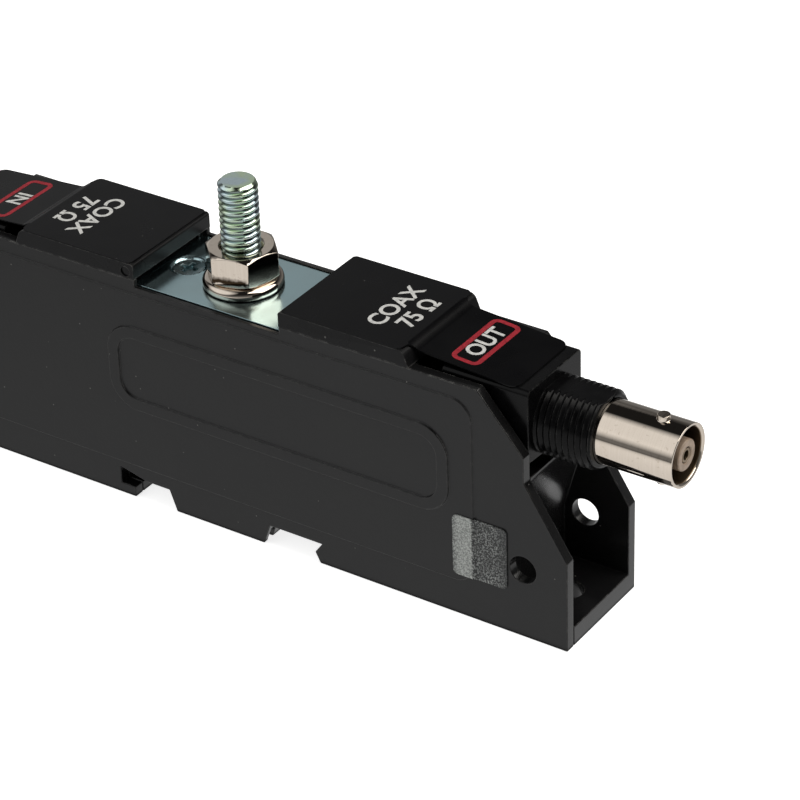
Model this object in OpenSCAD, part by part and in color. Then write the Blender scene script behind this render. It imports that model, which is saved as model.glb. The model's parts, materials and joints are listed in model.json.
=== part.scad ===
// Coax lightning arrestor: a slim in-line surge barrier with a bayonet coax socket at each end.
// It stands on its feet: +X points to the protected port, -Y to the side cover and +Z up.
// The origin is on the base plane, under the axis of the earth stud. All sizes are millimetres.

/* [Housing] */
// Length over the two mounting ears
body_l = 123; // [121:0.5:130]
// Width over the back wall and the side cover
body_w = 19; // [18.5:0.25:22]
// Thickness of the housing's walls
wall_t = 1.8; // [1.5:0.1:2.1]
// Thickness of the side cover
cover_t = 1.75; // [1.5:0.05:2.1]
// Thickness of the floor in the ears
floor_t = 3.2; // [2.6:0.1:3.8]
// Height of an ear's upright end
ear_h = 15.1; // [14.5:0.1:18]
// Length of an ear beyond the sill of the end wall
ear_reach = 7.1; // [6:0.1:7.5]
// Height of the end wall's sill, which the circuit board lies on
sill_h = 26.3; // [25.5:0.1:26.8]
// Height of the side walls above the sill
head_room = 13; // [12.6:0.1:15]
// Height of the shoulder's foot above the sill
shoulder_rise = 4.15; // [2.5:0.05:6]
// Distance from the ear's end to the top of the shoulder
shoulder_reach = 14.6; // [13:0.1:16]
// How far the end wall leans back below its sill
bay_inset = 3.8; // [3.2:0.1:4.5]
// Height at which the end wall stands upright again
bay_h = 12; // [11:0.5:15]
// Thickness of the ribs under the circuit board
rib_t = 1.5; // [1:0.1:2]
// Distance from each rib to the socket's block
rib_gap = 2.1; // [1.2:0.1:3]

/* [Rail foot] */
// Width of the mounting rail
rail_w = 35; // [34.5:0.1:35.5]
// Height of the notch over the rail's flange
notch_h = 3.5; // [3.2:0.1:4]
// Distance of the fixed lip's tip from the middle
lip_x = 16.1; // [15.5:0.1:17]
// Thickness of the fixed lip
lip_t = 1.75; // [1.4:0.05:2]
// Depth of the undercut behind the lip
lip_depth = 2.7; // [2.2:0.1:3.2]
// Height of the undercut's roof
undercut_h = 4.75; // [4.3:0.05:5.2]
// Length of the undercut's sloping roof
undercut_run = 5; // [4:0.1:6]
// How far the snap hook reaches under the rail's flange
hook_bite = 1.3; // [0.8:0.1:1.6]
// Height of the snap hook's tip
hook_h = 1.75; // [1.4:0.05:2.2]
// Length of the snap hook's lead-in
hook_toe = 0.9; // [0.5:0.1:1.4]
// Width of the centre foot at the base
foot_w = 16.4; // [14:0.1:17.5]
// How much wider the centre foot is at its top, on each side
foot_flare = 1.25; // [0.6:0.05:1.6]
// Width of the slot along the cover's seam in the centre foot
seam_slot_w = 1.3; // [0.8:0.1:1.6]
// Thickness left in front of that slot
seam_skin = 0.9; // [0.7:0.05:1.2]
// Length of the slot from the foot's end
seam_slot_l = 4; // [2:0.5:6]
// Height of the slot
seam_slot_h = 2.4; // [1.5:0.1:3]

/* [Mounting holes] */
// Diameter of the cross holes through the ears
side_hole_d = 4.4; // [3.6:0.1:4.8]
// Distance from the ear's end to the cross hole
side_hole_inset = 7.4; // [6:0.1:8]
// Height of the cross holes
side_hole_z = 11.6; // [10:0.1:12.5]
// Diameter of the holes in the ears' floor
base_hole_d = 4.3; // [3.6:0.1:4.6]
// Distance from the ear's end to the floor hole
base_hole_inset = 5.5; // [4.5:0.1:6.5]

/* [Side cover] */
// Distance from the ear's end to the raised panel
panel_inset = 15.5; // [15:0.1:19]
// Height of the panel's lower edge
panel_low = 6; // [5.5:0.1:8]
// Distance from the panel's upper edge to the top of the walls
panel_drop = 2.4; // [1.8:0.1:4]
// Corner radius of the panel
panel_r = 3.5; // [2:0.1:5]
// How far the panel stands out of the cover
panel_proud = 0.25; // [0.15:0.05:0.5]
// Length of the raised border
border_l = 60.9; // [55:0.1:63]
// Height of the raised border
border_h = 14.6; // [13:0.1:16]
// Distance from the border to the panel's end
border_inset = 3.95; // [3:0.05:6]
// Height of the border's middle above the panel's
border_lift = 2.45; // [1:0.05:4]
// Width of the border's band
border_band = 2; // [1.4:0.1:2.6]
// Outer corner radius of the border
border_r = 5; // [3.5:0.1:6]
// How far the border stands out of the panel
border_proud = 0.3; // [0.1:0.05:0.4]
// Diameter of the cover's pegs
peg_d = 2.6; // [2.2:0.1:3]
// Length of the cover's pegs
peg_l = 7; // [5:0.5:9]
// Wall of the bosses that take the pegs
boss_wall = 1.5; // [1.2:0.1:2]
// Distance from the ear's end to the outer pegs
peg_inset = 20.5; // [18.5:0.5:22.5]
// Height of the pegs
peg_z = 14; // [12:0.5:16]
// Length of the foil label
side_label_l = 9; // [7:0.1:9.2]
// Height of the foil label
side_label_h = 10.2; // [8:0.1:11]
// Distance from the panel's end to the foil label's middle
side_label_out = 1.05; // [0.5:0.05:1.2]
// Height of the foil label's middle
side_label_z = 12.4; // [12:0.1:13.5]
// Corner radius of the foil label
side_label_r = 0.8; // [0.4:0.1:1.5]

/* [Caps and labels] */
// Clear distance between the two caps
cap_gap = 26.2; // [26:0.1:27]
// Clear length between a cap's top and the socket's block
cap_clear = 5.1; // [3:0.1:6]
// Height of a cap
cap_h = 2.5; // [2:0.1:3]
// Lean of a cap's outer end
cap_lean = 1; // [0.5:0.1:1.5]
// Radius of a cap's inner top edge
cap_r = 0.5; // [0.3:0.1:1.4]
// Depth of a cap's tongue between the walls
tongue_h = 2.8; // [2:0.1:3]
// Wall of a cap's tongue
tongue_t = 1.4; // [1:0.1:1.8]
// Diameter of the moulding gate's mark on a cap
gate_d = 1.6; // [1.2:0.1:2]
// Distance from a cap's inner end to that mark
gate_in = 1.5; // [1.2:0.1:2.5]
// Depth of the gate's mark
gate_depth = 0.2; // [0.1:0.05:0.3]
// Thickness of the label films
film_t = 0.2; // [0.1:0.05:0.3]
// How far the label's lower part lies inside the block's sides
label_inset = 0.05; // [0.05:0.05:1]
// Distance from the label's outer end to the end of the socket's block
label_short = 1.9; // [1:0.1:3]
// Corner radius of the label's outer end
label_r = 1.5; // [0.8:0.1:2]
// Run of the label's step behind the cap
label_step_l = 0.9; // [0.7:0.05:1.2]
// Drop of the label's step behind the cap
label_step_h = 0.8; // [0.5:0.05:0.9]

/* [Earth terminal] */
// How far the earth plate reaches under each cap
plate_reach = 0.8; // [0.4:0.05:1.1]
// Width of the walls' rim beside the earth plate
plate_rim = 0.9; // [0.8:0.05:1.1]
// Thickness of the earth plate
plate_t = 1.5; // [1.2:0.1:2]
// Depth of the plate's top below the walls
plate_drop = 1.15; // [0.9:0.05:1.4]
// Depth of the cover's rim beside the plate below the walls
cover_rim_drop = 1.35; // [1:0.05:1.8]
// Depth of the back wall's rim beside the plate below the walls
back_rim_drop = 0.9; // [0.5:0.05:1.2]
// Diameter of the earth stud
stud_d = 6; // [5:0.1:6.2]
// Height of the stud above the plate
stud_h = 17.15; // [15:0.05:20]
// Chamfer of the stud's end
stud_chamfer = 0.5; // [0.3:0.05:0.8]
// Height of the stud's head under the plate
stud_head_h = 3.6; // [3:0.1:4]
// Width across flats of the nut and of the stud's head
nut_af = 10; // [9:0.1:10.5]
// Height of the nut
nut_h = 4.8; // [4:0.1:5.4]
// How far the nut's round faces lie inside its flats
nut_chamfer = 0.15; // [0.05:0.05:0.4]
// Turn of the nut
nut_angle = -45; // [-60:1:0]
// Diameter of the washer
washer_d = 12.2; // [11.5:0.1:12.6]
// Thickness of the washer
washer_t = 1.6; // [1.2:0.1:2]
// Distance from the plate's end to the plate screw
screw_inset = 3.8; // [3.5:0.1:4.1]
// Diameter of the plate screw's head
screw_head_d = 6; // [5.5:0.1:6.2]
// Height of the plate screw's conical head
screw_head_h = 1.3; // [1:0.05:1.4]
// Length of the plate screw
screw_l = 6; // [5:0.1:6.4]
// Diameter of the two small screws
screw_d = 3; // [2.6:0.1:3]
// Width of the cross recess
recess_w = 0.8; // [0.6:0.05:1]
// Length of the cross recess
recess_l = 3; // [2.4:0.1:3.2]
// Depth of the cross recess
recess_depth = 0.9; // [0.5:0.05:1]
// Width across flats of the earth pillar
pillar_af = 5.5; // [5:0.1:6]
// Diameter of the pillar screw's head
pan_d = 5.5; // [5:0.1:6]
// Height of the pillar screw's head
pan_h = 2; // [1.6:0.1:2.4]
// Length of the pillar screw
pan_l = 5; // [4:0.1:5.5]

/* [Coax sockets] */
// Height of a socket's axis above the circuit board
port_rise = 4.8; // [4.4:0.05:5.1]
// Distance from the sill's face back to the end of the socket's block
block_setback = 0.6; // [0.2:0.1:1]
// Length of a socket's block
block_l = 14.2; // [13.6:0.1:14.6]
// Gap between a socket's block and the walls
block_gap = 0.5; // [0.3:0.05:0.9]
// Height of a socket's block
block_h = 11.85; // [11.4:0.05:12.4]
// Edge radius of a socket's block
block_r = 0.8; // [0.4:0.1:1.2]
// Diameter of the threaded bush
bush_d = 12; // [11.4:0.1:12.4]
// Length of the threaded bush
bush_l = 9; // [8:0.1:10]
// Distance of the bush's flat from its axis
bush_flat = 5.3; // [5.1:0.05:5.6]
// Chamfer of the bush's end
bush_chamfer = 0.6; // [0.3:0.1:0.8]
// Diameter of the bayonet barrel
barrel_d = 9.6; // [9.4:0.05:9.8]
// Length of the barrel beyond the bush
barrel_l = 12.4; // [11:0.1:13.5]
// Bore of the barrel
barrel_bore = 8.2; // [8:0.05:8.4]
// Chamfer in the barrel's mouth
barrel_chamfer = 0.35; // [0.2:0.05:0.5]
// Distance of the bayonet lugs from the barrel's rim
lug_back = 3.9; // [3.4:0.1:4.5]
// Diameter of a bayonet lug
lug_d = 1.9; // [1.7:0.1:2.1]
// Distance over the two lugs
lug_span = 11.1; // [10.8:0.05:11.3]
// Diameter of the insulator's nose
nose_d = 4.8; // [4.4:0.1:5]
// Length of the insulator's nose
nose_l = 8; // [6:0.1:9]
// Depth of the nose below the barrel's rim
nose_back = 0.2; // [0.1:0.1:2]
// Diameter of the centre contact
contact_d = 2.2; // [2:0.1:2.4]
// Bore of the centre contact
contact_bore = 1.4; // [1.3:0.05:1.5]
// Depth of the centre contact's bore
contact_depth = 6; // [4:0.5:7]
// Depth of the barrel in the socket's block
barrel_seat = 8; // [6:0.1:9]
// Length of the contact behind the barrel
contact_rear = 2.6; // [2.2:0.1:3]

/* [Circuit] */
// Thickness of the circuit board
board_t = 1.6; // [1.2:0.1:1.7]
// Distance from the end of the socket's block back to the board's end
board_setback = 2; // [1:0.1:2.6]
// Diameter of every solder tail and component lead
lead_d = 0.8; // [0.6:0.05:1]
// Length of the leads below the board
lead_below = 1.4; // [1:0.1:2]
// Diameter of the gas tube
tube_d = 7.6; // [6:0.1:7.8]
// Length of the gas tube
tube_l = 6; // [5:0.1:7]
// Distance from the gas tube to the socket's block
tube_gap = 14.6; // [11:0.1:16]
// Diameter of the series coil
coil_d = 4.6; // [4:0.1:5]
// Length of the series coil
coil_l = 9; // [8:0.1:10]
// Distance of the series coil from the stud
coil_x = 8; // [7.5:0.1:9]
// Diameter of a clamping diode
diode_d = 3.6; // [3:0.1:4]
// Length of a clamping diode
diode_l = 7.4; // [6:0.1:8]
// Distance from the second diode to the socket's block
diode_gap = 6.6; // [5.6:0.1:8]
// Distance between the two diodes
diode_pitch = 6; // [5.5:0.1:7]

/* [Clearances] */
// Gap around pieces that are fitted together
fit = 0.1; // [0.05:0.01:0.15]
// Radial gap between the nut and the stud
thread_fit = 0.05; // [0.03:0.01:0.08]
// Radial gap between the washer and the stud
washer_fit = 0.2; // [0.1:0.05:0.3]

/* [Hidden] */
$fn = 64;
over = 1;
half_l = body_l / 2;
half_w = body_w / 2;
wall_h = sill_h + head_room;
shoulder_h = sill_h + shoulder_rise;
sill_x = half_l - ear_reach;
shoulder_x = half_l - shoulder_reach;
bay_x = sill_x - bay_inset;
back_inner = half_w - wall_t;
cover_inner = -half_w + cover_t;
hook_root = rail_w - lip_x;
hook_tip = hook_root - hook_bite;
undercut_x = lip_x + lip_depth;
rail_floor = undercut_h + wall_t;
side_hole_x = half_l - side_hole_inset;
base_hole_x = half_l - base_hole_inset;
panel_x = half_l - panel_inset;
panel_high = wall_h - panel_drop;
panel_z = (panel_low + panel_high) / 2;
border_x = panel_x - border_inset - border_l / 2;
border_z = panel_z + border_lift;
side_label_x = panel_x + side_label_out;
peg_x = half_l - peg_inset;
board_top = sill_h + board_t;
port_z = board_top + port_rise;
block_end = sill_x - block_setback;
block_x = block_end - block_l;
block_top = board_top + block_h;
board_end = block_end - board_setback;
block_w = body_w - 2 * max(wall_t, cover_t) - 2 * block_gap;
rib_x = block_x - rib_gap;
cap_x = cap_gap / 2;
cap_end = block_x - cap_clear;
cap_l = cap_end - cap_x;
cap_top = wall_h + cap_h;
plate_l = cap_gap + 2 * plate_reach;
plate_w = body_w - 2 * plate_rim;
plate_top = wall_h - plate_drop;
plate_under = plate_top - plate_t;
screw_x = plate_l / 2 - screw_inset;
barrel_x = block_end - barrel_seat;
bush_end = block_end + bush_l;
rim_x = bush_end + barrel_l;
contact_x = barrel_x - contact_rear;
contact_tail_x = contact_x + lead_d / 2 + fit;
barrel_tail_x = barrel_x + contact_d;
label_w = block_w - 2 * label_inset;
label_end = block_end - label_short;
stud_r = stud_d / 2;
stud_top = plate_top + stud_h;
washer_top = plate_top + washer_t;
nut_corner = nut_af / sqrt(3);
lead_low = sill_h - lead_below;
lead_gap = 1.2;
tube_x = block_x - tube_gap;
diode_x = block_x - diode_gap - diode_pitch;
tube_span = tube_l + 2 * lead_gap;
coil_span = coil_l + 2 * lead_gap;
diode_span = diode_l + 2 * lead_gap;
black = "#2d2d2f";
gloss_black = "#1d1d1f";
zinc = "#9aa8ab";
nickel = "#c9c2b6";

// Outline of both side walls, seen from the cover: x along the body, y up.
// It runs from the snap hook round the right ear, over the top, down the left ear and along the rail foot.
side_outline = [
    [hook_tip + hook_toe, 0], [half_l, 0], [half_l, ear_h], [sill_x, sill_h],
    [sill_x, shoulder_h], [shoulder_x, wall_h], [-shoulder_x, wall_h], [-sill_x, shoulder_h],
    [-sill_x, sill_h], [-half_l, ear_h], [-half_l, 0], [-lip_x, 0],
    [-lip_x, lip_t], [-undercut_x, lip_t], [-undercut_x, undercut_h], [-undercut_x + undercut_run, notch_h],
    [-foot_w / 2 - foot_flare, notch_h], [-foot_w / 2, 0], [foot_w / 2, 0],
    [foot_w / 2 + foot_flare, notch_h], [hook_root, notch_h], [hook_tip, hook_h]];

// Section of the right end wall, which leans back below its sill to clear the cross hole
end_wall = [
    [sill_x, sill_h], [sill_x, sill_h - wall_t / 2], [bay_x, bay_h], [bay_x, floor_t / 2],
    [bay_x - wall_t, floor_t / 2], [bay_x - wall_t, bay_h + wall_t / 2],
    [sill_x - 2 * wall_t, sill_h - wall_t / 2], [sill_x - 2 * wall_t, sill_h]];

// Extrude a shape drawn in X and Z between two places along Y
module along_y(y0, y1) {
    translate([0, y1, 0]) rotate([90, 0, 0]) linear_extrude(y1 - y0) children();
}

// Extrude a shape drawn in Y and Z between two places along X
module along_x(x0, x1) {
    translate([x0, 0, 0]) rotate([90, 0, 90]) linear_extrude(x1 - x0) children();
}

// Round bar along X between two places
module bar_x(d, x0, x1) {
    translate([x0, 0, 0]) rotate([0, 90, 0]) cylinder(d = d, h = x1 - x0);
}

// Round bar along Y between two places
module bar_y(d, y0, y1) {
    translate([0, y1, 0]) rotate([90, 0, 0]) cylinder(d = d, h = y1 - y0);
}

// Flat rectangle with round corners, about its middle
module rounded_rect(l, h, r) {
    square([l - 2 * r, h], center = true);
    square([l, h - 2 * r], center = true);
    for (sx = [-1, 1], sy = [-1, 1])
        translate([sx * (l / 2 - r), sy * (h / 2 - r)]) circle(r);
}

// The clean side is drawn at +X, and the line side is the same turned half round the stud
module on_side(side) {
    rotate([0, 0, side == "line" ? 180 : 0]) children();
}

// Cross holes through both ears
module side_holes() {
    for (s = [-1, 1])
        translate([s * side_hole_x, 0, side_hole_z]) bar_y(side_hole_d, -half_w - over, half_w + over);
}

// Room for the earth plate in the top of both walls
module plate_seat() {
    translate([-plate_l / 2 - fit, -plate_w / 2 - fit, plate_under])
        cube([plate_l + 2 * fit, plate_w + 2 * fit, wall_h]);
}

// Step down of a wall's rim between the caps
module rim_step(drop) {
    translate([-cap_x, -half_w - over, wall_h - drop]) cube([cap_gap, body_w + 2 * over, drop + over]);
}

// Slot along the seam between housing and cover, in the centre foot's end
module seam_slot() {
    translate([foot_w / 2 - seam_slot_l, -half_w + seam_skin, -over])
        cube([seam_slot_l + foot_flare + over, seam_slot_w, seam_slot_h + over]);
}

// Hollow inside the centre foot, which keeps its walls as thin as the rest
module foot_core() {
    core_l = foot_w - 2 * wall_t;
    translate([-core_l / 2, cover_inner + wall_t, wall_t])
        cube([core_l, back_inner - cover_inner - wall_t, rail_floor]);
}

// Places of the four pegs that hold the cover: two low ones near the ears and two above the rail
module at_pegs() {
    for (s = [-1, 1], p = [[peg_x, peg_z], [peg_x / 3, peg_z + peg_d * 2]])
        translate([s * p[0], 0, p[1]]) children();
}

module housing() {
    color(black) difference() {
        union() {
            along_y(back_inner, half_w) polygon(side_outline);
            along_y(cover_inner, half_w) intersection() {
                polygon(side_outline);
                union() {
                    translate([-half_l, 0]) square([body_l, floor_t]);
                    translate([-undercut_x - wall_t, 0])
                        square([undercut_x + hook_root + 2 * wall_t, rail_floor]);
                }
            }
            for (s = [0, 1]) mirror([s, 0, 0]) along_y(cover_inner, half_w) polygon(end_wall);
            for (s = [-1, 1])
                translate([s * rib_x - rib_t / 2, cover_inner, floor_t / 2])
                    cube([rib_t, half_w - cover_inner - wall_t / 2, sill_h - floor_t / 2]);
            at_pegs() bar_y(peg_d + 2 * boss_wall, cover_inner, half_w - wall_t / 2);
        }
        at_pegs() bar_y(peg_d + 2 * fit, cover_inner - over, cover_inner + peg_l + fit);
        foot_core();
        side_holes();
        for (s = [-1, 1])
            translate([s * base_hole_x, 0, -over]) cylinder(d = base_hole_d, h = floor_t + 2 * over);
        plate_seat();
        rim_step(back_rim_drop);
        seam_slot();
    }
}

module side_cover() {
    color(black) difference() {
        union() {
            along_y(-half_w, cover_inner) polygon(side_outline);
            along_y(-half_w - panel_proud, -half_w + cover_t / 2)
                translate([0, panel_z]) rounded_rect(2 * panel_x, panel_high - panel_low, panel_r);
            along_y(-half_w - panel_proud - border_proud, -half_w) translate([border_x, border_z]) difference() {
                rounded_rect(border_l, border_h, border_r);
                rounded_rect(border_l - 2 * border_band, border_h - 2 * border_band, border_r - border_band);
            }
            at_pegs() bar_y(peg_d, -half_w + cover_t / 2, cover_inner + peg_l);
        }
        side_holes();
        plate_seat();
        rim_step(cover_rim_drop);
        seam_slot();
    }
}

// Moulded cap: it sits on both walls and its tongue reaches down between them
module cap() {
    difference() {
        union() {
            along_y(-half_w, half_w) {
                polygon([[cap_x, wall_h], [cap_end + cap_lean, wall_h], [cap_end, cap_top],
                    [cap_x + cap_r, cap_top], [cap_x, cap_top - cap_r]]);
                translate([cap_x + cap_r, cap_top - cap_r]) circle(cap_r);
            }
            translate([cap_x + tongue_t, cover_inner + fit, wall_h - tongue_h])
                cube([cap_l - 2 * tongue_t, back_inner - cover_inner - 2 * fit, tongue_h + cap_h / 2]);
        }
        translate([cap_x + 2 * tongue_t, cover_inner + fit + tongue_t, wall_h - tongue_h - over])
            cube([cap_l - 4 * tongue_t, back_inner - cover_inner - 2 * (fit + tongue_t), tongue_h + over]);
        translate([cap_x + gate_in, 0, wall_h + cap_h / 2 - gate_depth])
            bar_y(gate_d, half_w - gate_depth, half_w + over);
    }
}

module clean_cap() { color(gloss_black) on_side("clean") cap(); }
module line_cap() { color(gloss_black) on_side("line") cap(); }

// Printed film: full width on the cap, then narrower, stepping down on to the socket's block
module label() {
    run = [[cap_x + cap_r, cap_top], [cap_end, cap_top],
        [cap_end + label_step_l, cap_top - label_step_h], [label_end, block_top]];
    lifted = [for (i = [3:-1:0]) [run[i][0], run[i][1] + film_t]];
    intersection() {
        along_y(-half_w, half_w) polygon(concat(run, lifted));
        translate([0, 0, block_top - over]) linear_extrude(cap_h + cap_top) {
            translate([cap_x, -half_w]) square([cap_l, body_w]);
            translate([(cap_x + label_end) / 2, 0]) rounded_rect(label_end - cap_x, label_w, label_r);
        }
    }
}

module clean_label() { color("#242426") on_side("clean") label(); }
module line_label() { color("#242426") on_side("line") label(); }

// Foil label: it lies on the raised panel, bends over the panel's edge and lies on the cover
module side_label() {
    x0 = side_label_x - side_label_l / 2;
    x1 = side_label_x + side_label_l / 2;
    bend = panel_x + 2 * panel_proud;
    high = -half_w - panel_proud;
    color("#6f7370") intersection() {
        translate([0, 0, side_label_z - side_label_h / 2]) linear_extrude(side_label_h)
            polygon([[x0, high], [panel_x, high], [bend, -half_w], [x1, -half_w],
                [x1, -half_w - film_t], [bend, -half_w - film_t], [panel_x, high - film_t], [x0, high - film_t]]);
        along_y(-body_w, 0) translate([side_label_x, side_label_z])
            rounded_rect(side_label_l, side_label_h, side_label_r);
    }
}

module earth_plate() {
    color(zinc) difference() {
        translate([-plate_l / 2, -plate_w / 2, plate_under]) cube([plate_l, plate_w, plate_t]);
        translate([0, 0, plate_under - over]) cylinder(d = stud_d + 2 * fit, h = plate_t + 2 * over);
        translate([-screw_x, 0, plate_under - over]) cylinder(d = screw_d + 2 * fit, h = plate_t + 2 * over);
        translate([-screw_x, 0, plate_top - screw_head_h])
            cylinder(d1 = screw_d + 2 * fit, d2 = screw_head_d + 2 * fit, h = screw_head_h);
    }
}

module earth_stud() {
    color(zinc) {
        translate([0, 0, plate_under - stud_head_h]) rotate([0, 0, 30])
            cylinder(r = nut_corner, h = stud_head_h, $fn = 6);
        rotate_extrude() polygon([[0, plate_under - stud_head_h / 2], [stud_r, plate_under - stud_head_h / 2],
            [stud_r, stud_top - stud_chamfer], [stud_r - stud_chamfer, stud_top], [0, stud_top]]);
    }
}

module earth_washer() {
    color(nickel) difference() {
        translate([0, 0, plate_top]) cylinder(d = washer_d, h = washer_t);
        translate([0, 0, plate_top - over]) cylinder(r = stud_r + washer_fit, h = washer_t + 2 * over);
    }
}

module earth_nut() {
    face_r = nut_af / 2 - nut_chamfer;
    cone_r = nut_corner + over;
    slope = (cone_r - face_r) * tan(30);
    color(nickel) translate([0, 0, washer_top]) difference() {
        intersection() {
            rotate([0, 0, nut_angle]) cylinder(r = nut_corner, h = nut_h, $fn = 6);
            rotate_extrude() polygon([[0, 0], [face_r, 0], [cone_r, slope],
                [cone_r, nut_h - slope], [face_r, nut_h], [0, nut_h]]);
        }
        translate([0, 0, -over]) cylinder(r = stud_r + thread_fit, h = nut_h + 2 * over);
    }
}

module plate_screw() {
    color(zinc) translate([-screw_x, 0, plate_top]) difference() {
        union() {
            translate([0, 0, -screw_head_h]) cylinder(d1 = screw_d, d2 = screw_head_d, h = screw_head_h);
            translate([0, 0, -screw_l]) cylinder(d = screw_d, h = screw_l - screw_head_h / 2);
        }
        for (turn = [0, 90]) rotate([0, 0, turn])
            translate([-recess_l / 2, -recess_w / 2, -recess_depth]) cube([recess_l, recess_w, recess_depth + over]);
    }
}

module earth_pillar() {
    color("#b08d4f") translate([-screw_x, 0, board_top]) difference() {
        cylinder(r = pillar_af / sqrt(3), h = plate_under - board_top, $fn = 6);
        translate([0, 0, -over]) cylinder(d = screw_d + 2 * fit, h = plate_under - board_top + 2 * over);
    }
}

module pillar_screw() {
    color(zinc) translate([-screw_x, 0, sill_h]) {
        translate([0, 0, -pan_h]) cylinder(d = pan_d, h = pan_h);
        translate([0, 0, -pan_h / 2]) cylinder(d = screw_d, h = pan_l + pan_h / 2);
    }
}

// Holes of one component's two leads, or one component's leads, about its middle
module lead_pair(span, d, low, high) {
    for (s = [-1, 1]) translate([s * span / 2, 0, low]) cylinder(d = d, h = high - low);
}

module circuit_board() {
    hole_d = lead_d + 2 * fit;
    low = sill_h - over;
    high = board_top + over;
    color("#2f5b3c") difference() {
        translate([-board_end, cover_inner + fit, sill_h])
            cube([2 * board_end, back_inner - cover_inner - 2 * fit, board_t]);
        for (s = [-1, 1], x = [contact_tail_x, barrel_tail_x])
            translate([s * x, 0, low]) cylinder(d = hole_d, h = high - low);
        translate([-screw_x, 0, low]) cylinder(d = screw_d + 2 * fit, h = high - low);
        translate([-tube_x, 0, 0]) rotate([0, 0, 90]) lead_pair(tube_span, hole_d, low, high);
        translate([coil_x, 0, 0]) lead_pair(coil_span, hole_d, low, high);
        for (i = [0, 1]) translate([diode_x + i * diode_pitch, 0, 0]) rotate([0, 0, 90])
            lead_pair(diode_span, hole_d, low, high);
    }
}

// Moulded socket body: the block stands on the board and the bush carries the barrel
module jack_body() {
    bar_d = barrel_d + 2 * fit;
    tail_d = lead_d + 2 * fit;
    difference() {
        union() {
            along_x(block_x, block_end) translate([0, board_top + block_h / 2])
                rounded_rect(block_w, block_h, block_r);
            difference() {
                translate([0, 0, port_z]) {
                    bar_x(bush_d, block_end, bush_end - bush_chamfer);
                    translate([bush_end - bush_chamfer, 0, 0]) rotate([0, 90, 0])
                        cylinder(d1 = bush_d, d2 = bush_d - 2 * bush_chamfer, h = bush_chamfer);
                }
                translate([block_end, -bush_d / 2 - over, port_z + bush_flat])
                    cube([bush_l + over, bush_d + 2 * over, bush_d]);
            }
        }
        translate([0, 0, port_z]) {
            bar_x(bar_d, barrel_x, bush_end + over);
            bar_x(contact_d + 2 * fit, contact_x - fit, barrel_x + over);
        }
        translate([contact_tail_x, 0, board_top - over]) cylinder(d = tail_d, h = port_z - board_top + over);
        translate([barrel_tail_x, 0, board_top - over]) cylinder(d = tail_d, h = port_z - board_top + over);
    }
}

// Bayonet barrel with its two lugs and its solder tail
module jack_barrel() {
    bore_r = barrel_bore / 2;
    difference() {
        union() {
            translate([0, 0, port_z]) bar_x(barrel_d, barrel_x, rim_x);
            translate([rim_x - lug_back, 0, port_z - lug_span / 2]) cylinder(d = lug_d, h = lug_span);
            translate([barrel_tail_x, 0, lead_low]) cylinder(d = lead_d, h = port_z - lead_low);
        }
        translate([0, 0, port_z]) {
            bar_x(barrel_bore, barrel_x - over, rim_x + over);
            translate([rim_x - barrel_chamfer, 0, 0]) rotate([0, 90, 0])
                cylinder(r1 = bore_r, r2 = bore_r + barrel_chamfer, h = barrel_chamfer);
        }
    }
}

module jack_insulator() {
    translate([0, 0, port_z]) difference() {
        union() {
            bar_x(barrel_bore - 2 * fit, barrel_x, rim_x - nose_back - nose_l);
            bar_x(nose_d, barrel_x, rim_x - nose_back);
        }
        bar_x(contact_d + 2 * fit, barrel_x - over, rim_x);
    }
}

module jack_contact() {
    front = rim_x - nose_back - fit;
    difference() {
        union() {
            translate([0, 0, port_z]) bar_x(contact_d, contact_x, front);
            translate([contact_tail_x, 0, lead_low]) cylinder(d = lead_d, h = port_z - lead_low);
        }
        translate([0, 0, port_z]) bar_x(contact_bore, front - contact_depth, front + over);
    }
}

module clean_jack_body() { color(gloss_black) on_side("clean") jack_body(); }
module clean_jack_barrel() { color(nickel) on_side("clean") jack_barrel(); }
module clean_jack_insulator() { color("#d8cfbd") on_side("clean") jack_insulator(); }
module clean_jack_contact() { color("#c8a24a") on_side("clean") jack_contact(); }
module line_jack_body() { color(gloss_black) on_side("line") jack_body(); }
module line_jack_barrel() { color(nickel) on_side("line") jack_barrel(); }
module line_jack_insulator() { color("#d8cfbd") on_side("line") jack_insulator(); }
module line_jack_contact() { color("#c8a24a") on_side("line") jack_contact(); }

// Round component lying on the board along X, with a bent lead at each end
module axial_part(d, l, span) {
    z = board_top + d / 2 + fit;
    translate([0, 0, z]) {
        bar_x(d, -l / 2, l / 2);
        bar_x(lead_d, -span / 2, span / 2);
    }
    lead_pair(span, lead_d, lead_low, z);
    for (s = [-1, 1]) translate([s * span / 2, 0, z]) sphere(d = lead_d);
}

module gas_tube() {
    color("#cfc7bb") translate([-tube_x, 0, 0]) rotate([0, 0, 90]) axial_part(tube_d, tube_l, tube_span);
}

module series_coil() {
    color("#7a5a3a") translate([coil_x, 0, 0]) axial_part(coil_d, coil_l, coil_span);
}

// Clamping diodes stand in a row on the clean side
module diode(place) {
    translate([diode_x + place * diode_pitch, 0, 0]) rotate([0, 0, 90]) axial_part(diode_d, diode_l, diode_span);
}

module forward_diode() { color("#303030") diode(0); }
module reverse_diode() { color("#303030") diode(1); }

housing();
side_cover();
clean_cap();
line_cap();
clean_label();
line_label();
side_label();
earth_plate();
earth_stud();
earth_washer();
earth_nut();
plate_screw();
earth_pillar();
pillar_screw();
circuit_board();
clean_jack_body();
clean_jack_barrel();
clean_jack_insulator();
clean_jack_contact();
line_jack_body();
line_jack_barrel();
line_jack_insulator();
line_jack_contact();
gas_tube();
series_coil();
forward_diode();
reverse_diode();
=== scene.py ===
import json
import bpy
import bmesh
from math import atan2, ceil, cos, hypot, radians, sin
from mathutils import Matrix, Vector


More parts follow.
